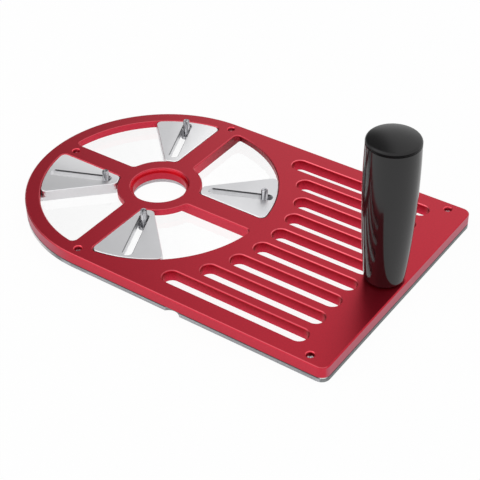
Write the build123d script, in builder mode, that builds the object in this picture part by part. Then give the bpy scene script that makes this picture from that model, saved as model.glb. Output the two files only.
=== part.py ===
from build123d import *
import os
from math import asin, atan2, degrees, sqrt

# Router base plate: a D-shaped aluminium plate with a spoked wheel at its round end, a clear sole
# under it, four sliding adapters in the wheel's windows and an upright handle at the square end.
# Millimetres. The origin is on the wheel's axis at the underside of the sole, +X runs towards the
# handle and +Z is up.

# Plate
plate_width = 160.0
plate_length = 246.5
top_thickness = 7.0
sole_thickness = 3.0
corner_radius = 5.0
edge_chamfer = 0.6
seam_chamfer = 0.3

# Wheel
window_count = 4
rim_wall = 8.8
hub_wall = 8.0
spoke_width = 12.5
window_corner = 3.0
lip_thickness = 4.0
hub_undercut = 4.1
rim_undercut = 3.8
undercut_corner = 1.7

# Guide bushing seat
recess_diameter = 35.0
recess_depth = 2.5
recess_shoulder = 1.5
sole_bore_margin = 1.3

# Slots
slot_count = 9
slot_width = 10.0
slot_side_margin = 10.6
slot_wheel_margin = 2.0
slot_end_margin = 20.5

# Screws that hold the sole
screw_diameter = 4.0
screw_head_diameter = 7.6
screw_tip_chamfer = 0.4
thread_clearance = 0.05
shank_clearance = 0.25
countersink_clearance = 0.2
countersink_angle = 90
sole_screw_sink = 0.2
sole_screw_length = 8.0
screw_edge_distance = 6.0
end_screw_margin = 12.5
spoke_screw_margin = 14.0
socket_width = 2.5
socket_depth = 1.2

# Notch in the edge of the sole
notch_radius = 6.0
notch_x = 70.5
notch_depth = 2.3

# Adapters and their running gaps
adapter_sweep = 45
side_gap = 0.15
curve_gap = 0.3
slide_gap = 0.1
adapter_chamfer = 0.3
adapter_hub_wall = 4.2
adapter_rim_wall = 1.7

# Screws that stand in the adapters
adapter_screw_length = 10.0
adapter_head_diameter = 8.0
adapter_head_height = 2.3
adapter_slot_play = 1.7
channel_play = 0.6
channel_headroom = 0.2
bearing_gap = 0.05
inner_rest = 0.7
outer_rest = 2.2

# Handle
handle_end_distance = 12.5
grip_height = 86.6
grip_top_radius = 14.5
grip_base_inset = 3.4
grip_middle_inset = 0.4
grip_middle_height = 40.0
grip_base_round = 2.4
pocket_depth = 26.8
pocket_clearance = 0.3
seam_round = 0.4
cap_wall_height = 0.5
cap_crown_height = 4.8
cap_edge_round = 2.2
cap_stem_length = 7.0
cap_stem_clearance = 0.1

# Bolt and washers inside the handle
bolt_diameter = 8.0
bolt_head_diameter = 13.0
bolt_head_height = 8.0
bolt_tip_gap = 0.4
bolt_chamfer = 0.8
bolt_socket_width = 6.0
bolt_socket_depth = 4.0
bolt_clearance = 0.25
washer_overhang = 1.5
washer_thickness = 1.6
lock_washer_inset = 0.15
lock_washer_thickness = 2.0
lock_washer_split = 1.5

# Places worked out from the sizes above
wheel_radius = plate_width / 2
end_x = plate_length - wheel_radius
top_z = sole_thickness + top_thickness
spoke_side = spoke_width / 2
recess_radius = recess_diameter / 2
bore_radius = recess_radius - recess_shoulder
sole_bore_radius = bore_radius + sole_bore_margin
hub_radius = recess_radius + hub_wall
rim_opening_radius = wheel_radius - rim_wall
undercut_depth = top_thickness - lip_thickness
undercut_hub_radius = hub_radius - hub_undercut
undercut_rim_radius = rim_opening_radius + rim_undercut
slot_pitch = (plate_width - 2 * slot_side_margin - slot_width) / (slot_count - 1)
slot_arc_radius = wheel_radius + slot_wheel_margin + slot_width / 2
last_slot_x = end_x - slot_end_margin - slot_width / 2
screw_radius = screw_diameter / 2
cone_height = (screw_head_diameter - screw_diameter) / 2
screw_row_y = wheel_radius - screw_edge_distance
end_screw_x = end_x - end_screw_margin
sole_screw_places = [
    (spoke_screw_margin - wheel_radius, 0),
    (0, screw_row_y),
    (0, -screw_row_y),
    (end_screw_x, screw_row_y),
    (end_screw_x, -screw_row_y),
]

adapter_side = spoke_side + side_gap
adapter_z = sole_thickness + slide_gap
adapter_thickness = top_thickness - slide_gap
adapter_hub_radius = hub_radius + curve_gap
adapter_rim_radius = rim_opening_radius - curve_gap
adapter_corner = window_corner + curve_gap
flange_thickness = undercut_depth - slide_gap - curve_gap
flange_hub_radius = undercut_hub_radius + curve_gap
flange_rim_radius = undercut_rim_radius - curve_gap
flange_corner = undercut_corner + curve_gap
adapter_slot_width = screw_diameter + adapter_slot_play
channel_width = adapter_head_diameter + channel_play
channel_depth = adapter_head_height + channel_headroom
slot_inner_centre = adapter_hub_radius + adapter_hub_wall + adapter_slot_width / 2
slot_outer_centre = adapter_rim_radius - adapter_rim_wall - adapter_slot_width / 2
slot_travel = slot_outer_centre - slot_inner_centre
slot_middle = (slot_outer_centre + slot_inner_centre) / 2
bearing_z = adapter_z + channel_depth - bearing_gap

handle_x = end_x - handle_end_distance
grip_top_z = top_z + grip_height
grip_base_radius = grip_top_radius - grip_base_inset
grip_middle_radius = grip_top_radius - grip_middle_inset
bolt_radius = bolt_diameter / 2
bolt_hole_radius = bolt_radius + bolt_clearance
bolt_head_radius = bolt_head_diameter / 2
washer_radius = bolt_head_radius + washer_overhang
lock_washer_radius = bolt_head_radius - lock_washer_inset
pocket_radius = washer_radius + pocket_clearance
washer_z = grip_top_z - pocket_depth
lock_washer_z = washer_z + washer_thickness
bolt_seat_z = lock_washer_z + lock_washer_thickness
bolt_tip_z = sole_thickness + bolt_tip_gap

# How far out the screw stands in each adapter, in turn about the wheel from the handle's side
inner_place = slot_inner_centre + inner_rest
outer_place = slot_outer_centre - outer_rest
screw_places = {
    "east": outer_place,
    "north": outer_place,
    "west": inner_place,
    "south": inner_place,
}


def plate_outline():
    """Half circle at the wheel end, straight sides, and a square end with rounded corners."""
    with BuildSketch() as outline:
        with BuildLine():
            round_end = CenterArc((0, 0), wheel_radius, 90, 180)
            Polyline(round_end @ 0, (end_x, wheel_radius), (end_x, -wheel_radius), round_end @ 1)
        make_face()
        fillet(outline.vertices().group_by(Axis.X)[-1], corner_radius)
    return outline.sketch


def ring_sector(inner, outer, side, sweep, corner):
    """A sector of a ring whose straight sides run parallel to the radial lines at angle zero and
    at the sweep, each moved inwards by the side distance."""
    inner_lead = degrees(asin(side / inner))
    outer_lead = degrees(asin(side / outer))
    with BuildSketch() as sector:
        with BuildLine():
            outer_arc = CenterArc((0, 0), outer, outer_lead, sweep - 2 * outer_lead)
            inner_arc = CenterArc((0, 0), inner, inner_lead, sweep - 2 * inner_lead)
            Line(inner_arc @ 0, outer_arc @ 0)
            Line(inner_arc @ 1, outer_arc @ 1)
        make_face()
        fillet(sector.vertices(), corner)
    return sector.sketch


def slot_places():
    """Middle and centre distance of each slot: all end in one line, and start on an arc about the
    wheel's axis."""
    places = []
    for row in range(slot_count):
        y = (row - (slot_count - 1) / 2) * slot_pitch
        start_x = sqrt(slot_arc_radius**2 - y**2)
        places.append(((start_x + last_slot_x) / 2, y, last_slot_x - start_x))
    return places


def adapter(start_angle):
    """A flange under the lips, a body flush with the top face, a radial slot and its channel."""
    base = Plane.XY.offset(adapter_z)
    start = base.rotated((0, 0, start_angle))
    middle = base.rotated((0, 0, start_angle + adapter_sweep / 2))
    with BuildPart() as wedge:
        with BuildSketch(start):
            add(adapter_body_outline)
        extrude(amount=adapter_thickness)
        chamfer(wedge.faces().sort_by(Axis.Z)[-1].edges(), adapter_chamfer)
        with BuildSketch(start):
            add(adapter_flange_outline)
        extrude(amount=flange_thickness)
        with BuildSketch(middle):
            with Locations((slot_middle, 0)):
                SlotCenterToCenter(slot_travel, channel_width)
        extrude(amount=channel_depth, mode=Mode.SUBTRACT)
        with BuildSketch(middle):
            with Locations((slot_middle, 0)):
                SlotCenterToCenter(slot_travel, adapter_slot_width)
        extrude(amount=adapter_thickness, mode=Mode.SUBTRACT)
    return wedge.part


def adapter_screw(start_angle, distance):
    """A low-headed screw standing in an adapter: its head in the channel, its thread up."""
    middle = Plane.XY.offset(bearing_z).rotated((0, 0, start_angle + adapter_sweep / 2))
    underside = middle.offset(-adapter_head_height)
    with BuildPart() as screw:
        with BuildSketch(middle):
            with Locations((distance, 0)):
                Circle(screw_radius)
        extrude(amount=adapter_screw_length)
        chamfer(screw.edges().sort_by(Axis.Z)[-1], screw_tip_chamfer)
        with BuildSketch(underside):
            with Locations((distance, 0)):
                Circle(adapter_head_diameter / 2)
        extrude(amount=adapter_head_height)
        with BuildSketch(underside):
            with Locations((distance, 0)):
                RegularPolygon(socket_width / 2, 6, major_radius=False)
        extrude(amount=socket_depth, mode=Mode.SUBTRACT)
    return screw.part


outline = plate_outline()
quarter = 360 / window_count
window = ring_sector(hub_radius, rim_opening_radius, spoke_side, quarter, window_corner)
undercut = ring_sector(
    undercut_hub_radius, undercut_rim_radius, spoke_side, quarter, undercut_corner
)
adapter_body_outline = ring_sector(
    adapter_hub_radius, adapter_rim_radius, adapter_side, adapter_sweep, adapter_corner
)
adapter_flange_outline = ring_sector(
    flange_hub_radius, flange_rim_radius, adapter_side, adapter_sweep, flange_corner
)

# Top plate: undercut windows between the spokes, a stepped bore, slots and threaded holes
with BuildPart() as top_plate:
    underside = Plane.XY.offset(sole_thickness)
    with BuildSketch(underside):
        add(outline)
    extrude(amount=top_thickness)
    with BuildSketch(underside):
        with PolarLocations(0, window_count):
            add(window)
    extrude(amount=top_thickness, mode=Mode.SUBTRACT)
    with BuildSketch(underside):
        with PolarLocations(0, window_count):
            add(undercut)
    extrude(amount=undercut_depth, mode=Mode.SUBTRACT)
    with BuildSketch(underside):
        for middle_x, y, centre_distance in slot_places():
            with Locations((middle_x, y)):
                SlotCenterToCenter(centre_distance, slot_width)
    extrude(amount=top_thickness, mode=Mode.SUBTRACT)
    with Locations((0, 0, top_z)):
        CounterBoreHole(bore_radius, recess_radius, recess_depth)
    with Locations([(x, y, top_z) for x, y in sole_screw_places]):
        Hole(screw_radius + thread_clearance)
    with Locations((handle_x, 0, top_z)):
        Hole(bolt_radius + thread_clearance)
    chamfer(top_plate.faces().sort_by(Axis.Z)[-1].edges(), edge_chamfer)
    chamfer(top_plate.faces().sort_by(Axis.Z)[0].outer_wire().edges(), seam_chamfer)
top_plate.part.label = "top_plate"

# Sole: clear sheet of the same outline, with the bit's opening and a small notch in one edge
with BuildPart() as sole_plate:
    with BuildSketch():
        add(outline)
        Circle(sole_bore_radius, mode=Mode.SUBTRACT)
        with Locations((notch_x, notch_depth - wheel_radius - notch_radius)):
            Circle(notch_radius, mode=Mode.SUBTRACT)
    extrude(amount=sole_thickness)
    chamfer(sole_plate.faces().sort_by(Axis.Z)[-1].outer_wire().edges(), seam_chamfer)
    chamfer(sole_plate.faces().sort_by(Axis.Z)[0].outer_wire().edges(), seam_chamfer)
    with Locations([Plane((x, y, 0), z_dir=(0, 0, -1)) for x, y in sole_screw_places]):
        CounterSinkHole(
            screw_radius + shank_clearance,
            screw_head_diameter / 2 + sole_screw_sink + countersink_clearance,
            counter_sink_angle=countersink_angle,
        )
sole_plate.part.label = "sole_plate"

# Countersunk screws: from the sole's underside up into the top plate
with BuildPart() as sole_screws:
    upright = (Align.CENTER, Align.CENTER, Align.MIN)
    with Locations([(x, y, sole_screw_sink) for x, y in sole_screw_places]):
        Cylinder(screw_radius, sole_screw_length, align=upright)
    chamfer(sole_screws.edges().group_by(Axis.Z)[-1], screw_tip_chamfer)
    with Locations([(x, y, sole_screw_sink) for x, y in sole_screw_places]):
        Cone(screw_head_diameter / 2, screw_radius, cone_height, align=upright)
    with BuildSketch(Plane.XY.offset(sole_screw_sink)):
        with Locations(sole_screw_places):
            RegularPolygon(socket_width / 2, 6, major_radius=False)
    extrude(amount=socket_depth, mode=Mode.SUBTRACT)
sole_screws.part.label = "sole_screws"

# Grip: a taper that swells into a belly, bored through for its bolt, with a pocket under the cap
handle_axis = Axis((handle_x, 0, 0), (0, 0, 1))
handle_section = Plane((handle_x, 0, 0), x_dir=(1, 0, 0), z_dir=(0, -1, 0))
with BuildPart() as handle_grip:
    with BuildSketch(handle_section) as grip_profile:
        with BuildLine():
            foot = Line((bolt_hole_radius, top_z), (grip_base_radius, top_z))
            side = ThreePointArc(
                foot @ 1,
                (grip_middle_radius, top_z + grip_middle_height),
                (grip_top_radius, grip_top_z),
            )
            Polyline(
                side @ 1,
                (pocket_radius, grip_top_z),
                (pocket_radius, washer_z),
                (bolt_hole_radius, washer_z),
                foot @ 0,
            )
        make_face()
        fillet(grip_profile.vertices().sort_by_distance(foot @ 1)[0], grip_base_round)
        fillet(grip_profile.vertices().sort_by_distance(side @ 1)[0], seam_round)
    revolve(axis=handle_axis)
handle_grip.part.label = "handle_grip"

# Cap: a low crown with a rounded edge on the grip's end face, and a stem in the grip's pocket
with BuildPart() as handle_cap:
    with BuildSketch(handle_section) as cap_profile:
        stem_radius = pocket_radius - cap_stem_clearance
        stem_z = grip_top_z - cap_stem_length
        wall_z = grip_top_z + cap_wall_height
        edge_x = grip_top_radius - cap_edge_round
        crown_rise = cap_crown_height - cap_edge_round
        crown_radius = (edge_x**2 + cap_crown_height**2 - cap_edge_round**2) / (2 * crown_rise)
        crown_centre_z = wall_z + cap_crown_height - crown_radius
        edge_angle = degrees(atan2(wall_z - crown_centre_z, edge_x))
        with BuildLine():
            edge = CenterArc((edge_x, wall_z), cap_edge_round, 0, edge_angle)
            crown = CenterArc((0, crown_centre_z), crown_radius, edge_angle, 90 - edge_angle)
            foot = Line((stem_radius, grip_top_z), (grip_top_radius, grip_top_z))
            Line(foot @ 1, edge @ 0)
            Polyline(crown @ 1, (0, stem_z), (stem_radius, stem_z), foot @ 0)
        make_face()
        fillet(cap_profile.vertices().sort_by_distance(foot @ 1)[0], seam_round)
    revolve(axis=handle_axis)
handle_cap.part.label = "handle_cap"

# Bolt: from the grip's pocket down into the top plate
with BuildPart() as handle_bolt:
    with BuildSketch(Plane.XY.offset(bolt_tip_z)):
        with Locations((handle_x, 0)):
            Circle(bolt_radius)
    extrude(amount=bolt_seat_z - bolt_tip_z)
    chamfer(handle_bolt.edges().sort_by(Axis.Z)[0], bolt_chamfer)
    with BuildSketch(Plane.XY.offset(bolt_seat_z)):
        with Locations((handle_x, 0)):
            Circle(bolt_head_radius)
    extrude(amount=bolt_head_height)
    chamfer(handle_bolt.edges().sort_by(Axis.Z)[-1], bolt_chamfer)
    with BuildSketch(Plane.XY.offset(bolt_seat_z + bolt_head_height)):
        with Locations((handle_x, 0)):
            RegularPolygon(bolt_socket_width / 2, 6, major_radius=False)
    extrude(amount=-bolt_socket_depth, mode=Mode.SUBTRACT)
handle_bolt.part.label = "handle_bolt"

# Flat washer in the bottom of the pocket
with BuildPart() as handle_washer:
    with BuildSketch(Plane.XY.offset(washer_z)):
        with Locations((handle_x, 0)):
            Circle(washer_radius)
            Circle(bolt_hole_radius, mode=Mode.SUBTRACT)
    extrude(amount=washer_thickness)
handle_washer.part.label = "handle_washer"

# Lock washer: a ring with a split, between the flat washer and the bolt's head
with BuildPart() as handle_lock_washer:
    with BuildSketch(Plane.XY.offset(lock_washer_z)):
        with Locations((handle_x, 0)):
            Circle(lock_washer_radius)
            Circle(bolt_hole_radius, mode=Mode.SUBTRACT)
        with Locations((handle_x + lock_washer_radius, 0)):
            Rectangle(2 * lock_washer_radius, lock_washer_split, mode=Mode.SUBTRACT)
    extrude(amount=lock_washer_thickness)
handle_lock_washer.part.label = "handle_lock_washer"

pieces = [
    top_plate.part,
    sole_plate.part,
    sole_screws.part,
    handle_grip.part,
    handle_cap.part,
    handle_bolt.part,
    handle_washer.part,
    handle_lock_washer.part,
]
for index, (side_name, distance) in enumerate(screw_places.items()):
    wedge = adapter(index * quarter)
    wedge.label = f"wedge_{side_name}"
    screw = adapter_screw(index * quarter, distance)
    screw.label = f"wedge_screw_{side_name}"
    pieces.extend([wedge, screw])

os.makedirs("parts", exist_ok=True)
for piece in pieces:
    export_step(piece, f"parts/{piece.label}.step")
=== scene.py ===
from math import pi, radians
from types import SimpleNamespace

import bpy
import numpy as np
from mathutils import Matrix, Vector


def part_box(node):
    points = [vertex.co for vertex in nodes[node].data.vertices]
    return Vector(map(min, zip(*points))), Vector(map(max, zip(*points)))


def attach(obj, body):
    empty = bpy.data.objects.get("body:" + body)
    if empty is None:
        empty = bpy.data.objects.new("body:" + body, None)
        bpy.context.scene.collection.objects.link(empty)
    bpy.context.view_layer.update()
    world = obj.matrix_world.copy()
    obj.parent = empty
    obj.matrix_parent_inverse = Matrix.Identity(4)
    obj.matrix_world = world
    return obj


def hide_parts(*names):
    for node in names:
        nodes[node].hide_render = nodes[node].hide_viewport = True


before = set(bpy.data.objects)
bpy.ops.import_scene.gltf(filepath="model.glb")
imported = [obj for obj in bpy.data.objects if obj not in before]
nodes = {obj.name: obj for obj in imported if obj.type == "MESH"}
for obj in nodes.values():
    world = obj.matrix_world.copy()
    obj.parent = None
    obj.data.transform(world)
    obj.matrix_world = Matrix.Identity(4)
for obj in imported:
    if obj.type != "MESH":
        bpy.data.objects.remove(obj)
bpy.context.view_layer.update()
MM = 0.001
SIDES = ("east", "north", "west", "south")

# The plate's own lines: square end, wheel's radius, top face and seam with the sole
plate_low, plate_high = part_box("top_plate")
END, WHEEL, TOP, SEAM = plate_high.x, plate_high.y, plate_high.z, plate_low.z
CAP_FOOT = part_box("handle_grip")[1].z

# Lines inside the plate that the screws and the finishes follow: the holes' places, the recess's
# radius and floor, the radius of the sole's bore, and half the width of an adapter's slot
HOLE_ROW = WHEEL - 6 * MM
END_HOLES = END - 12.5 * MM
SPOKE_HOLE = -WHEEL + 14 * MM
RECESS = 17.5 * MM
RECESS_FLOOR = TOP - 2.5 * MM
SOLE_BORE = 17.3 * MM
HALF_ADAPTER_SLOT = 2.85 * MM


# Helpers for materials

def linear(hex_colour):
    """The linear RGBA that a shader socket takes, from an sRGB hex colour."""
    steps = [int(hex_colour[i:i + 2], 16) / 255 for i in (1, 3, 5)]
    return (*[s / 12.92 if s <= 0.04045 else ((s + 0.055) / 1.055) ** 2.4 for s in steps], 1)


def per_metre(millimetres):
    """A pattern's scale, in repeats per metre, from the real size of one repeat."""
    return 1 / (millimetres * MM)


def feed(node, inputs):
    """Gives a node's inputs plain values or other nodes' outputs. A node stands for its first
    output."""
    for name, value in inputs.items():
        if isinstance(value, bpy.types.Node):
            value = value.outputs[0]
        if isinstance(value, bpy.types.NodeSocket):
            node.id_data.links.new(value, node.inputs[name])
        else:
            node.inputs[name].default_value = value


def add_node(tree, kind, settings=None, inputs=None):
    """Adds a node. Settings are its own choices, and inputs are as feed() takes them."""
    new = tree.nodes.new(kind)
    for name, value in (settings or {}).items():
        setattr(new, name, value)
    feed(new, inputs or {})
    return new


def new_material(name, **sockets):
    """A material with one Principled shader, whose plain values are set on its own sockets."""
    material = bpy.data.materials.new(name)
    material.use_nodes = True
    skin = material.node_tree.nodes["Principled BSDF"]
    feed(skin, {socket.replace("_", " "): value for socket, value in sockets.items()})
    return material, material.node_tree, skin


def region(tree, *limits):
    """The share to which a point lies inside all the limits. A limit is a share already made, or a
    value with the point where it begins to hold and the point where it holds in full."""
    share = None
    for limit in limits:
        if isinstance(limit, tuple):
            value, begins, full = limit
            limit = add_node(tree, "ShaderNodeMapRange", inputs={
                "Value": value, "From Min": begins, "From Max": full})
        share = limit if share is None else add_node(
            tree, "ShaderNodeMath", {"operation": "MULTIPLY"}, {0: share, 1: limit})
    return share


def layered(tree, ground, *covers):
    """A ground colour with others laid over it in turn, each as far as its share goes. A colour is an
    sRGB hex value or a node's output. In a Mix node 0 is the share, 6 and 7 are its colours, and
    output 2 is the mixed colour."""
    for share, cover in covers:
        below, above = [linear(c) if isinstance(c, str) else c for c in (ground, cover)]
        mixed = add_node(tree, "ShaderNodeMix", {"data_type": "RGBA"}, {0: share, 6: below, 7: above})
        ground = mixed.outputs[2]
    return ground


def point_on_part(tree):
    """Where a point of a surface is in the part's frame: its place, its x, y and z, how far across it
    is from the long middle line, and its reach, its flat distance from the wheel's axis."""
    place = add_node(tree, "ShaderNodeTexCoord").outputs["Object"]
    x, y, z = add_node(tree, "ShaderNodeSeparateXYZ", inputs={0: place}).outputs
    across = add_node(tree, "ShaderNodeMath", {"operation": "ABSOLUTE"}, {0: y})
    flat = add_node(tree, "ShaderNodeVectorMath", {"operation": "MULTIPLY"}, {
        0: place, 1: (1.0, 1.0, 0.0)})
    reach = add_node(tree, "ShaderNodeVectorMath", {"operation": "LENGTH"}, {0: flat})
    return SimpleNamespace(place=place, x=x, y=y, z=z, across=across, reach=reach.outputs["Value"])


def wear(obj, material):
    """Gives a CAD node or a new piece its one material."""
    obj.data.materials.clear()
    obj.data.materials.append(material)


# Red anodised aluminium

def wall_red_and_painted_light(tree, spot):
    """The red of the open walls, painted light throughout: brighter and paler than the top face as a
    painted sheen, greyer on the square end and the wheel's west side as a stronger painted sheen,
    painted shade where one window's far end lies in shade, and a painted highlight in the recess."""
    square_end = region(tree, (spot.x, END - 1.0 * MM, END - 0.3 * MM))
    west_side = region(tree, (spot.x, 0.0, -20 * MM),
                       (spot.reach, WHEEL - 1.5 * MM, WHEEL - 1.0 * MM))
    greyer = add_node(tree, "ShaderNodeMath", {"operation": "MAXIMUM"}, {0: square_end, 1: west_side})
    shaded = region(tree, (spot.y, 28 * MM, 62 * MM), (spot.x, 2 * MM, 4 * MM),
                    (spot.reach, WHEEL - 2.5 * MM, WHEEL - 3.0 * MM))
    recess = region(tree, (spot.reach, RECESS + 1.0 * MM, RECESS + 0.7 * MM),
                    (spot.z, RECESS_FLOOR, RECESS_FLOOR + 0.2 * MM))
    # Painted sheen on the walls, painted shade in the shaded window end, a painted highlight in the
    # recess
    return layered(tree, "#D02F45", (greyer, "#BD5266"), (shaded, "#8A0A1E"), (recess, "#FB4C60"))


def hole_edges(tree, spot, level):
    """The share of the chamfers round the five holes, which carry a painted highlight: in each row
    along a long edge one in the middle and one by the handle, and one in the west spoke."""
    from_middle = add_node(tree, "ShaderNodeMath", {"operation": "ABSOLUTE"}, {0: spot.x})
    by_handle = add_node(tree, "ShaderNodeMath", {"operation": "COMPARE"}, {
        0: spot.x, 1: END_HOLES, 2: 3.5 * MM})
    columns = add_node(tree, "ShaderNodeMath", {"operation": "MAXIMUM"}, {
        0: region(tree, (from_middle, 3.6 * MM, 3.4 * MM)), 1: by_handle})
    side_holes = region(tree, columns, (spot.across, HOLE_ROW - 3.5 * MM, HOLE_ROW - 3.2 * MM),
                        (spot.across, HOLE_ROW + 3.2 * MM, HOLE_ROW + 3.0 * MM), (level, 0.95, 0.9))
    spoke_hole = region(tree, (spot.x, SPOKE_HOLE + 4.0 * MM, SPOKE_HOLE + 3.8 * MM),
                        (spot.across, 3.6 * MM, 3.4 * MM), (spot.reach, 71.0 * MM, 70.8 * MM))
    return add_node(tree, "ShaderNodeMath", {"operation": "MAXIMUM"}, {0: side_holes, 1: spoke_hole})


def tool_marks(tree, spot, grain):
    """The relief of the plate's making: the saw's upright marks on the square end, faint rings of
    turning on the top face, and the grain of fine blasting over both."""
    normal = add_node(tree, "ShaderNodeNewGeometry").outputs["Normal"]
    along, _, up = add_node(tree, "ShaderNodeSeparateXYZ", inputs={0: normal}).outputs
    upright = add_node(tree, "ShaderNodeMapping", inputs={
        "Vector": spot.place, "Scale": (1.0, 1.0, 0.02)})
    saw = add_node(tree, "ShaderNodeTexNoise", inputs={
        "Vector": upright, "Scale": per_metre(1.1), "Detail": 2.0})
    # A Wave texture makes about three rings in one unit of its scale
    rings = add_node(tree, "ShaderNodeTexWave", {"wave_type": "RINGS", "rings_direction": "Z"}, {
        "Vector": spot.place, "Scale": per_metre(1.4) / 3, "Distortion": 0.4, "Detail": 1.0,
        "Detail Scale": 4.0})
    end_face = add_node(tree, "ShaderNodeMath", {"operation": "GREATER_THAN"}, {0: along, 1: 0.9})
    top_face = add_node(tree, "ShaderNodeMath", {"operation": "GREATER_THAN"}, {0: up, 1: 0.9})
    on_end = add_node(tree, "ShaderNodeMath", {"operation": "MULTIPLY"}, {0: end_face, 1: 0.5})
    on_top = add_node(tree, "ShaderNodeMath", {"operation": "MULTIPLY"}, {0: top_face, 1: 0.06})
    sawn = add_node(tree, "ShaderNodeBump", inputs={
        "Strength": on_end, "Distance": 0.05 * MM, "Height": saw})
    turned = add_node(tree, "ShaderNodeBump", inputs={
        "Strength": on_top, "Distance": 0.02 * MM, "Height": rings, "Normal": sawn})
    return add_node(tree, "ShaderNodeBump", inputs={
        "Strength": 0.25, "Distance": 0.02 * MM, "Height": grain, "Normal": turned})


def anodised_aluminium():
    """Milled aluminium, fine blasted and anodised red. The oxide, red with dye, is a satin red metal
    with a clear skin that turns pale where it is seen at a low angle. Painted light lies over that
    red: the open walls are painted brighter and paler than the top face as a painted sheen, the nine
    slots carry painted shade, dark at their lip and lighter further down, and the chamfers carry
    painted highlights as thin bright lines. The blasted grain is made 0.9 mm across, coarser than
    real grit leaves it, so that it shows."""
    material, tree, skin = new_material(
        "red_anodised_blasted_aluminium", Metallic=1.0, Coat_Weight=0.3, Coat_Roughness=0.3,
        Coat_IOR=1.5)
    spot = point_on_part(tree)
    cloud = add_node(tree, "ShaderNodeTexNoise", inputs={
        "Vector": spot.place, "Scale": per_metre(55), "Detail": 2.0})
    grain = add_node(tree, "ShaderNodeTexNoise", inputs={
        "Vector": spot.place, "Scale": per_metre(0.9), "Detail": 3.0})
    true_normal = add_node(tree, "ShaderNodeNewGeometry").outputs["True Normal"]
    up = add_node(tree, "ShaderNodeSeparateXYZ", inputs={0: true_normal}).outputs[2]
    level = add_node(tree, "ShaderNodeMath", {"operation": "ABSOLUTE"}, {0: up})
    upright = region(tree, (level, 0.2, 0.1))

    # The slots' walls: between the wheel, the square end and the rows of holes
    slots = region(tree, (spot.reach, WHEEL - 0.5 * MM, WHEEL), (spot.x, 20 * MM, 30 * MM),
                   (spot.x, END - 2.5 * MM, END - 4.5 * MM),
                   (spot.across, HOLE_ROW - 0.5 * MM, HOLE_ROW - 1.5 * MM))
    outside = add_node(tree, "ShaderNodeMath", {"operation": "SUBTRACT"}, {0: 1.0, 1: slots})
    slot_wall = region(tree, upright, slots)
    # Painted shade: the slots' walls are dark red at their lip and lighter further down
    depth = region(tree, (spot.z, TOP - 0.7 * MM, TOP - 6 * MM))
    slot_painted_shade = layered(tree, "#9C0316", (depth, "#CD2E45"))

    # The chamfers: faces near 45 degrees, with a painted highlight along their upper part, brighter
    # on the near slots' and the holes' chamfers
    slant = add_node(tree, "ShaderNodeMath", {"operation": "COMPARE"}, {0: level, 1: 0.707, 2: 0.2})
    edge_highlight_share = region(tree, slant, (spot.x, END - 0.7 * MM, END - 1.0 * MM),
                      (spot.z, TOP - 0.42 * MM, TOP - 0.3 * MM))
    slot_edge = region(tree, slots, (spot.y, -66 * MM, 0.0))
    painted_edge_highlight = layered(
        tree, "#C44854", (slot_edge, "#F06A76"), (hole_edges(tree, spot, level), "#EC5361"))

    # The dyed red, with painted shade in the slots, a painted sheen on the open walls and painted
    # highlights on the chamfers laid over it
    dyed_and_painted_light = layered(
        tree, "#BB1A30", (cloud, "#C01B33"), (slot_wall, slot_painted_shade),
        (region(tree, upright, outside), wall_red_and_painted_light(tree, spot)), (edge_highlight_share, painted_edge_highlight))
    speck = add_node(tree, "ShaderNodeMapRange", inputs={
        "Value": grain, "From Min": 0.3, "From Max": 0.7, "To Min": 0.93, "To Max": 1.06})
    feed(skin, {
        "Base Color": add_node(tree, "ShaderNodeVectorMath", {"operation": "SCALE"}, {
            0: dyed_and_painted_light, "Scale": speck}),
        "Coat Weight": add_node(tree, "ShaderNodeMapRange", inputs={
            "Value": slot_wall, "To Min": 0.3, "To Max": 0.04}),
        "Roughness": add_node(tree, "ShaderNodeMapRange", inputs={
            "Value": grain, "To Min": 0.38, "To Max": 0.48}),
        "Normal": tool_marks(tree, spot, grain),
    })
    return material


# Other materials

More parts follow.
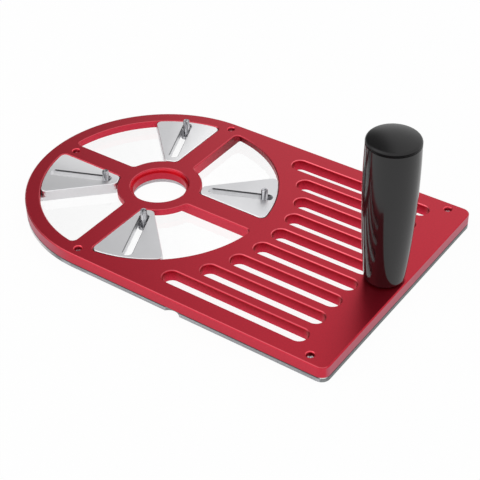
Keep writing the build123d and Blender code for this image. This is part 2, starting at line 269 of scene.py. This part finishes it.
def clear_acrylic():
    """Cast acrylic sheet, sawn to outline: clear and polished on its faces, with hazy edges that look
    grey, painted lighter as painted light on the near side, the west side and in the bore, and a thin
    dark line where its edge meets the plate above."""
    material, tree, skin = new_material(
        "clear_cast_acrylic", IOR=1.49, Transmission_Weight=1.0, Specular_IOR_Level=0.05)
    spot = point_on_part(tree)
    normal = add_node(tree, "ShaderNodeNewGeometry").outputs["Normal"]
    up = add_node(tree, "ShaderNodeSeparateXYZ", inputs={0: normal}).outputs[2]
    level = add_node(tree, "ShaderNodeMath", {"operation": "ABSOLUTE"}, {0: up})
    upright = (level, 0.9, 0.8)
    saw = add_node(tree, "ShaderNodeTexNoise", inputs={
        "Vector": spot.place, "Scale": per_metre(1.5), "Detail": 2.0})

    near_side = region(tree, (spot.y, -WHEEL + 0.6 * MM, -WHEEL + 0.3 * MM), upright)
    west_side = region(tree, (spot.x, -12 * MM, -30 * MM), (spot.y, -30 * MM, -50 * MM), upright)
    bore = region(tree, (spot.reach, SOLE_BORE + 0.5 * MM, SOLE_BORE + 0.2 * MM), upright)
    round_rim = region(tree, (spot.reach, WHEEL - 0.6 * MM, WHEEL - 0.3 * MM), (spot.x, 0.0, -MM))
    long_rims = region(tree, (spot.across, WHEEL - 0.6 * MM, WHEEL - 0.3 * MM))
    end_rim = region(tree, (spot.x, END - 0.6 * MM, END - 0.3 * MM))
    rim = add_node(tree, "ShaderNodeMath", {"operation": "MAXIMUM"}, {0: long_rims, 1: end_rim})
    rim = add_node(tree, "ShaderNodeMath", {"operation": "MAXIMUM"}, {0: rim, 1: round_rim})
    seam = region(tree, rim, (spot.z, SEAM - 0.7 * MM, SEAM - 0.2 * MM))
    clear = add_node(tree, "ShaderNodeMapRange", inputs={
        "Value": level, "From Min": 0.2, "From Max": 0.9, "To Min": 0.25, "To Max": 1.0})
    below_seam = add_node(tree, "ShaderNodeMath", {"operation": "SUBTRACT"}, {0: 1.0, 1: seam})
    edge = add_node(tree, "ShaderNodeMath", {"operation": "SUBTRACT"}, {0: 1.0, 1: level})
    feed(skin, {
        # Painted light: the grey edge is painted lighter on the near side, the west side and in the
        # bore
        "Base Color": layered(
            tree, "#797D7E", (level, "#FFFFFF"), (near_side, "#A4A7AB"), (west_side, "#D8D4D6"),
            (bore, "#CDCDD2"), (seam, "#4A3C40")),
        "Transmission Weight": region(tree, clear, below_seam),
        "Roughness": add_node(tree, "ShaderNodeMapRange", inputs={
            "Value": level, "From Min": 0.2, "From Max": 0.9, "To Min": 0.45, "To Max": 0.0}),
        "Normal": add_node(tree, "ShaderNodeBump", inputs={
            "Strength": edge, "Distance": 0.03 * MM, "Height": saw}),
    })
    return material


def slot_lip_shade(tree, spot, quarter):
    """The share and the tone of the painted shade lines along the adapters' slots, dark where shade
    falls at their edges. A slot's middle line lies 22.5 degrees past its spoke, and a point's offset
    from that line is its reach times the sine of the angle between them. Only the northern lip shows
    on the east and west adapters, and both on the others."""
    angle = add_node(tree, "ShaderNodeMath", {"operation": "SUBTRACT"}, {0: quarter, 1: pi / 8})
    sine = add_node(tree, "ShaderNodeMath", {"operation": "SINE"}, {0: angle})
    offset = add_node(tree, "ShaderNodeMath", {"operation": "MULTIPLY"}, {0: sine, 1: spot.reach})
    aside = add_node(tree, "ShaderNodeMath", {"operation": "ABSOLUTE"}, {0: offset})
    shade_lines = region(
        tree, (aside, HALF_ADAPTER_SLOT + 0.35 * MM, HALF_ADAPTER_SLOT + 0.15 * MM),
        (aside, HALF_ADAPTER_SLOT - 0.35 * MM, HALF_ADAPTER_SLOT - 0.15 * MM),
        (spot.z, TOP - 1.2 * MM, TOP - 0.8 * MM),
        (spot.reach, 31.5 * MM, 32.5 * MM), (spot.reach, 67.5 * MM, 66.5 * MM))
    from_middle = add_node(tree, "ShaderNodeMath", {"operation": "ABSOLUTE"}, {0: spot.x})
    steeper = add_node(tree, "ShaderNodeMath", {"operation": "SUBTRACT"}, {
        0: spot.across, 1: from_middle})
    north_or_south = region(tree, (steeper, 0.0, MM))
    northern = add_node(tree, "ShaderNodeMath", {"operation": "MULTIPLY"}, {0: offset, 1: spot.x})
    shown = add_node(tree, "ShaderNodeMath", {"operation": "MAXIMUM"}, {
        0: north_or_south, 1: region(tree, (northern, 0.0, 1e-6))})
    # Painted shade: darker grey lines along the slots' edges, darker on the east and west adapters
    return region(tree, shade_lines, shown), layered(tree, "#555557", (north_or_south, "#8E8E90"))


def bare_aluminium():
    """Bare aluminium plate, fine blasted: an even, bright, soft grey metal. The adapters are a little
    out of true, so that their faces turn to the light near one spoke, and there those on the left are
    painted paler, a painted highlight. Dark lines of painted shade run along their slots. The grain
    is made 0.7 mm across, coarser than real grit leaves it, so that it shows."""
    material, tree, skin = new_material("bare_blasted_aluminium", Metallic=1.0)
    spot = point_on_part(tree)
    grain = add_node(tree, "ShaderNodeTexNoise", inputs={
        "Vector": spot.place, "Scale": per_metre(0.7), "Detail": 4.0})
    cloud = add_node(tree, "ShaderNodeTexNoise", inputs={
        "Vector": spot.place, "Scale": per_metre(14), "Detail": 2.0})
    turn = add_node(tree, "ShaderNodeMath", {"operation": "ARCTAN2"}, {0: spot.y, 1: spot.x})
    quarter = add_node(tree, "ShaderNodeMath", {"operation": "FLOORED_MODULO"}, {0: turn, 1: pi / 2})

    warp = region(tree, (quarter, radians(32), radians(8)), (spot.y, -35 * MM, -15 * MM))
    left = region(tree, (spot.x, MM, -MM))
    west = region(tree, left, (spot.y, MM, -MM))
    softer = add_node(tree, "ShaderNodeMapRange", inputs={
        "Value": warp, "To Min": 0.1, "To Max": 0.55})
    bright = add_node(tree, "ShaderNodeMapRange", inputs={
        "Value": west, "To Min": warp, "To Max": softer})
    true_normal = add_node(tree, "ShaderNodeNewGeometry").outputs["True Normal"]
    up = add_node(tree, "ShaderNodeSeparateXYZ", inputs={0: true_normal}).outputs[2]
    bend = add_node(tree, "ShaderNodeMath", {"operation": "MULTIPLY_ADD"}, {
        0: west, 1: 0.04, 2: warp})
    tilt = add_node(tree, "ShaderNodeVectorMath", {"operation": "SCALE"}, {
        0: (0.055, 0.05, 0.0), "Scale": region(tree, (up, 0.9, 0.95), bend)})
    lean = add_node(tree, "ShaderNodeVectorMath", {"operation": "ADD"}, {
        0: add_node(tree, "ShaderNodeNewGeometry").outputs["Normal"], 1: tilt})
    feed(skin, {
        # Painted highlight: the adapters on the left are painted paler where their faces turn to the
        # light
        "Base Color": layered(
            tree, "#E3E3E5", (cloud, "#EEEEF0"), (region(tree, left, bright), "#FCFCFD"),
            slot_lip_shade(tree, spot, quarter)),
        "Roughness": add_node(tree, "ShaderNodeMapRange", inputs={
            "Value": grain, "To Min": 0.4, "To Max": 0.52}),
        "Normal": add_node(tree, "ShaderNodeBump", inputs={
            "Strength": 0.3, "Distance": 0.02 * MM, "Height": grain, "Normal": lean}),
    })
    return material


def zinc_steel():
    """Rolled-thread steel with a bright zinc skin: shiny, a little blue, with upright light and dark
    streaks painted in as painted highlights along the thread."""
    material, tree, skin = new_material("zinc_plated_steel", Metallic=1.0)
    place = add_node(tree, "ShaderNodeTexCoord").outputs["Object"]
    streak_stretch = add_node(tree, "ShaderNodeMapping", inputs={"Vector": place, "Scale": (1.0, 1.0, 0.12)})
    cloud = add_node(tree, "ShaderNodeTexNoise", inputs={
        "Vector": streak_stretch, "Scale": per_metre(1.1), "Detail": 3.0})
    feed(skin, {
        # Painted highlights: upright light and dark streaks stand in for the thread's shine
        "Base Color": layered(tree, "#58585C", (region(tree, (cloud, 0.38, 0.62)), "#D2D2D6")),
        "Roughness": add_node(tree, "ShaderNodeMapRange", inputs={
            "Value": cloud, "To Min": 0.18, "To Max": 0.32}),
    })
    return material


def black_phenolic(name, lowest_roughness, highest_roughness, index):
    """Moulded black phenolic: deep black, with the slight ripple of a polished moulding. The joint
    between grip and cap keeps a thin dark line of painted shade, where a dark specular tint dims its
    reflection."""
    material, tree, skin = new_material(name, IOR=index)
    place = add_node(tree, "ShaderNodeTexCoord").outputs["Object"]
    height = add_node(tree, "ShaderNodeSeparateXYZ", inputs={0: place}).outputs[2]
    cloud = add_node(tree, "ShaderNodeTexNoise", inputs={
        "Vector": place, "Scale": per_metre(18), "Detail": 2.0})
    joint = region(tree, (height, CAP_FOOT - 0.5 * MM, CAP_FOOT - 0.2 * MM),
                   (height, CAP_FOOT + 1.3 * MM, CAP_FOOT + 1.0 * MM))
    feed(skin, {
        "Base Color": layered(tree, "#0C0B0C", (cloud, "#121112")),
        # Painted shade: a dark specular tint makes a thin dark line at the joint
        "Specular Tint": layered(tree, "#FFFFFF", (joint, "#303030")),
        "Roughness": add_node(tree, "ShaderNodeMapRange", inputs={
            "Value": cloud, "To Min": lowest_roughness, "To Max": highest_roughness}),
        "Normal": add_node(tree, "ShaderNodeBump", inputs={
            "Strength": 0.1, "Distance": 0.05 * MM, "Height": cloud}),
    })
    return material


# Threaded screws: M4, with a hexagon socket in the head

SCREW = 2.0 * MM
PITCH = 0.7 * MM
THREAD_DEPTH = 0.3 * MM
SOCKET = 2.5 * MM
SOCKET_DEPTH = 1.2 * MM
AROUND = 48
RINGS_PER_TURN = 10
SHARP = radians(35)


def screw_surface(head, neck, thread_from, tip):
    """Points, quads and end triangles of a socket screw that stands head down on the wheel's axis.
    Each ring has a height, and a radius for every angle. The socket's radius is half its width over
    the cosine of the angle from the nearest flat's middle, and the head's rings are (radius, height)
    pairs below the neck, where the shank begins. The thread's radius falls from the screw's by its
    depth as a triangle wave of height divided by pitch, less the share of the turn, so the crest
    climbs one pitch a turn. It fades in over half a pitch at its foot and is cut back by the tip's
    chamfer. Both ends close to a point."""
    angle = np.arange(AROUND) * 2 * pi / AROUND
    even = np.ones(AROUND)
    hexagon = SOCKET / 2 / np.cos((angle + pi / 6) % (pi / 3) - pi / 6)
    foot = head[0][1]
    rings = [(hexagon * 0.5, foot + SOCKET_DEPTH), (hexagon, foot + SOCKET_DEPTH), (hexagon, foot)]
    rings += [(even * r, level) for r, level in head]
    rings += [(even * SCREW, neck), (even * SCREW, thread_from)]
    count = int((tip - thread_from) / PITCH * RINGS_PER_TURN)
    z = np.linspace(thread_from, tip, count + 1)[1:, None]
    wave = np.abs((z / PITCH - angle / (2 * pi)) % 1 * 2 - 1)
    fade = np.minimum(1, (z - thread_from) / (PITCH / 2))
    chamfer = np.maximum(0, z - (tip - THREAD_DEPTH * 1.2))
    thread = SCREW - np.maximum(THREAD_DEPTH * wave * fade, chamfer)

    radius = np.vstack([*(ring for ring, _ in rings), thread, even * SCREW * 0.4])
    height = np.concatenate([[level for _, level in rings], z[:, 0], [tip]])[:, None] * even
    grid = np.stack([radius * np.cos(angle), radius * np.sin(angle), height], axis=-1)
    points = np.concatenate([grid.reshape(-1, 3), [(0, 0, height[0, 0]), (0, 0, height[-1, 0])]])
    i, j = np.meshgrid(np.arange(len(radius) - 1) * AROUND, np.arange(AROUND), indexing="ij")
    k = (j + 1) % AROUND
    quads = np.stack([i + j, i + k, i + AROUND + k, i + AROUND + j], axis=-1).reshape(-1, 4)
    j, k = j[0], k[0]
    last, centre = (len(radius) - 1) * AROUND, len(radius) * AROUND
    low_end = np.stack([np.full(AROUND, centre), k, j], axis=-1)
    high_end = np.stack([np.full(AROUND, centre + 1), last + j, last + k], axis=-1)
    return points, quads, np.concatenate([low_end, high_end])


def placed_screws(name, node, surface, spots, material, body):
    """Puts copies of a screw's surface at the given spots as one piece that stands for a CAD node."""
    points, quads, triangles = surface
    moves = np.array([(x, y, 0) for x, y in spots])[:, None]
    first = np.arange(len(spots))[:, None, None] * len(points)
    faces = (quads + first).reshape(-1, 4).tolist() + (triangles + first).reshape(-1, 3).tolist()
    mesh = bpy.data.meshes.new(name)
    mesh.from_pydata((points + moves).reshape(-1, 3).tolist(), [], faces)
    mesh.shade_smooth()
    mesh.set_sharp_from_angle(angle=SHARP)
    piece = bpy.data.objects.new(name, mesh)
    bpy.context.scene.collection.objects.link(piece)
    wear(piece, material)
    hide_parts(node)
    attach(piece, body)


def standing_screw(side, material):
    """One adapter's screw: its head below, chamfered at both edges, and its thread standing up."""
    low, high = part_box(f"wedge_screw_{side}")
    middle = (low + high) / 2
    head_radius = (high.x - low.x) / 2
    head_top = low.z + 2.3 * MM
    head = [
        (head_radius - 0.3 * MM, low.z),
        (head_radius, low.z + 0.3 * MM),
        (head_radius, head_top - 0.2 * MM),
        (head_radius - 0.2 * MM, head_top),
    ]
    surface = screw_surface(head, head_top, head_top + 0.6 * MM, high.z)
    placed_screws(f"standing_screw_{side}", f"wedge_screw_{side}", surface,
                  [(middle.x, middle.y)], material, f"screw_{side}")


def countersunk_screws(material):
    """The five screws that hold the sole from below, one in each of the plate's holes."""
    low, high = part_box("sole_screws")
    surface = screw_surface([(3.8 * MM, low.z)], low.z + 1.8 * MM, low.z + 2.2 * MM, high.z)
    spots = [(SPOKE_HOLE, 0), (0, HOLE_ROW), (0, -HOLE_ROW),
             (END_HOLES, HOLE_ROW), (END_HOLES, -HOLE_ROW)]
    placed_screws("countersunk_screws", "sole_screws", surface, spots, material, "base")


# Floor, light, room and camera

def studio_floor():
    """A wide pale floor under the part. It looks white, and keeps the part's soft shadow."""
    far = 3.0
    mesh = bpy.data.meshes.new("floor")
    mesh.from_pydata(
        [(-far, -far, 0), (far, -far, 0), (far, far, 0), (-far, far, 0)], [], [(0, 1, 2, 3)])
    floor = bpy.data.objects.new("floor", mesh)
    bpy.context.scene.collection.objects.link(floor)
    material, tree, skin = new_material(
        "pale_floor", Base_Color=linear("#F0F0F0"), Roughness=1.0, Specular_IOR_Level=0.0)
    rays = add_node(tree, "ShaderNodeLightPath").outputs
    seen = add_node(tree, "ShaderNodeMath", {"operation": "MULTIPLY"}, {
        0: rays["Is Camera Ray"], 1: 0.955})
    mirrored = add_node(tree, "ShaderNodeMath", {"operation": "MULTIPLY"}, {
        0: rays["Is Glossy Ray"], 1: 0.4})
    share = add_node(tree, "ShaderNodeMath", {"operation": "MAXIMUM"}, {0: seen, 1: mirrored})
    share = add_node(tree, "ShaderNodeMath", {"operation": "MAXIMUM"}, {
        0: share, 1: rays["Is Transmission Ray"]})
    glow = add_node(tree, "ShaderNodeEmission", inputs={"Color": linear("#FFFFFF"), "Strength": 1.0})
    both = add_node(tree, "ShaderNodeMixShader", inputs={0: share, 1: skin, 2: glow})
    feed(tree.nodes["Material Output"], {"Surface": both})
    wear(floor, material)


def softbox(name, place, aim, width, height, power):
    """A rectangular soft light that points at a spot."""
    light = bpy.data.lights.new(name, "AREA")
    light.shape = "RECTANGLE"
    light.size = width
    light.size_y = height
    light.energy = power
    holder = bpy.data.objects.new(name, light)
    holder.location = place
    holder.rotation_euler = (Vector(aim) - Vector(place)).to_track_quat("-Z", "Y").to_euler()
    bpy.context.scene.collection.objects.link(holder)


def studio_world():
    """White for the camera, and for everything that the part mirrors a plain pale room, brighter
    overhead, with one dark wall to the west."""
    world = bpy.data.worlds.new("studio")
    bpy.context.scene.world = world
    world.use_nodes = True
    tree = world.node_tree
    camera_ray = add_node(tree, "ShaderNodeLightPath").outputs["Is Camera Ray"]
    way = add_node(tree, "ShaderNodeTexCoord").outputs["Generated"]
    east, north, up = add_node(tree, "ShaderNodeSeparateXYZ", inputs={0: way}).outputs
    from_wall = add_node(tree, "ShaderNodeMath", {"operation": "MULTIPLY"}, {0: east, 1: 0.743})
    from_wall = add_node(tree, "ShaderNodeMath", {"operation": "MULTIPLY_ADD"}, {
        0: north, 1: 0.669, 2: from_wall})
    wall = region(tree, (from_wall, 0.06, -0.06), (north, -0.4, -0.15))
    pale = add_node(tree, "ShaderNodeMapRange", inputs={
        "Value": up, "From Min": 0.56, "From Max": 0.68, "To Min": 1.03, "To Max": 1.16})
    room = add_node(tree, "ShaderNodeMapRange", inputs={
        "Value": wall, "To Min": pale, "To Max": 0.13})
    feed(tree.nodes["Background"], {
        "Color": layered(tree, room, (camera_ray, "#FFFFFF")), "Strength": 1.0})


def photo_camera():
    """A camera at the photograph's place, in the part's own frame, looking the way it looked. Its
    focal length is 1222.28 pixels of a frame of 480."""
    place = Vector((388.76, -457.69, 431.65)) * MM
    ahead = Vector((-0.46217, 0.64057, -0.61325)).normalized()
    right = Vector((0.81779, 0.57531, -0.01539))
    right = (right - ahead * right.dot(ahead)).normalized()
    up = right.cross(ahead)
    lens = bpy.data.cameras.new("camera")
    lens.sensor_width = 36.0
    lens.lens = 1222.28 / 480 * lens.sensor_width
    lens.clip_start = 0.01
    camera = bpy.data.objects.new("camera", lens)
    turn = Matrix((right, up, -ahead)).transposed().to_4x4()
    camera.matrix_world = Matrix.Translation(place) @ turn
    bpy.context.scene.collection.objects.link(camera)
    bpy.context.scene.camera = camera


red = anodised_aluminium()
acrylic = clear_acrylic()
silver = bare_aluminium()
zinc = zinc_steel()
wear(nodes["top_plate"], red)
wear(nodes["sole_plate"], acrylic)
wear(nodes["handle_grip"], black_phenolic("polished_black_phenolic", 0.08, 0.14, 1.52))
wear(nodes["handle_cap"], black_phenolic("satin_black_phenolic", 0.3, 0.38, 1.42))
for hidden in ("handle_bolt", "handle_washer", "handle_lock_washer"):
    wear(nodes[hidden], zinc)
for side in SIDES:
    wear(nodes[f"wedge_{side}"], silver)
    standing_screw(side, zinc)
countersunk_screws(zinc)

studio_floor()
studio_world()
softbox("key", place=(-0.47, -0.67, 0.71), aim=(0.04, 0, 0), width=0.8, height=0.8, power=1.5)
photo_camera()
bpy.context.scene.view_settings.view_transform = "Standard"
